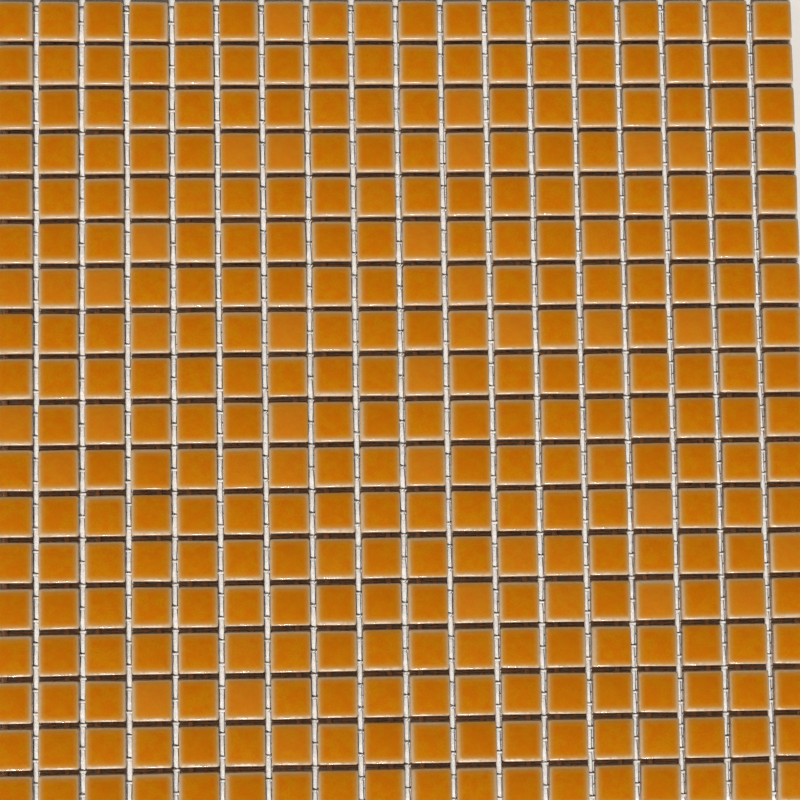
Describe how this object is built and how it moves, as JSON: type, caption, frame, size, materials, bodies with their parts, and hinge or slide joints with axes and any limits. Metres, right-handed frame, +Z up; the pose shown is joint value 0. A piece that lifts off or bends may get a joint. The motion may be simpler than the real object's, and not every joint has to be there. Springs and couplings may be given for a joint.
{
  "type": "mosaic tile sheet",
  "caption": "Net-backed mosaic sheet of small square amber-glazed ceramic chips in even rows, with open joints, ready to lay",
  "frame": {"origin": "middle of the sheet's underside, on the surface it lies on", "axes": "+Z up out of the glazed faces, +X along a row of chips, +Y along the lengthwise strands of the net, towards the first row"},
  "size_m": [0.3028, 0.3028, 0.0056],
  "materials": {
    "glazed_chip": "clear amber gloss glaze over a pale body, bare and matt on the sides and back",
    "fibre_net": "white woven glass-fibre strands, resin dressed, satin"
  },
  "bodies": {
    "root": {"tile_row_01": "glazed_chip", "tile_row_02": "glazed_chip", "tile_row_03": "glazed_chip", "tile_row_04": "glazed_chip", "tile_row_05": "glazed_chip", "tile_row_06": "glazed_chip", "tile_row_07": "glazed_chip", "tile_row_08": "glazed_chip", "tile_row_09": "glazed_chip", "tile_row_10": "glazed_chip", "tile_row_11": "glazed_chip", "tile_row_12": "glazed_chip", "tile_row_13": "glazed_chip", "tile_row_14": "glazed_chip", "tile_row_15": "glazed_chip", "tile_row_16": "glazed_chip", "tile_row_17": "glazed_chip", "tile_row_18": "glazed_chip", "net_warp_strands": "fibre_net", "net_weft_strands": "fibre_net"}
  },
  "joints": []
}
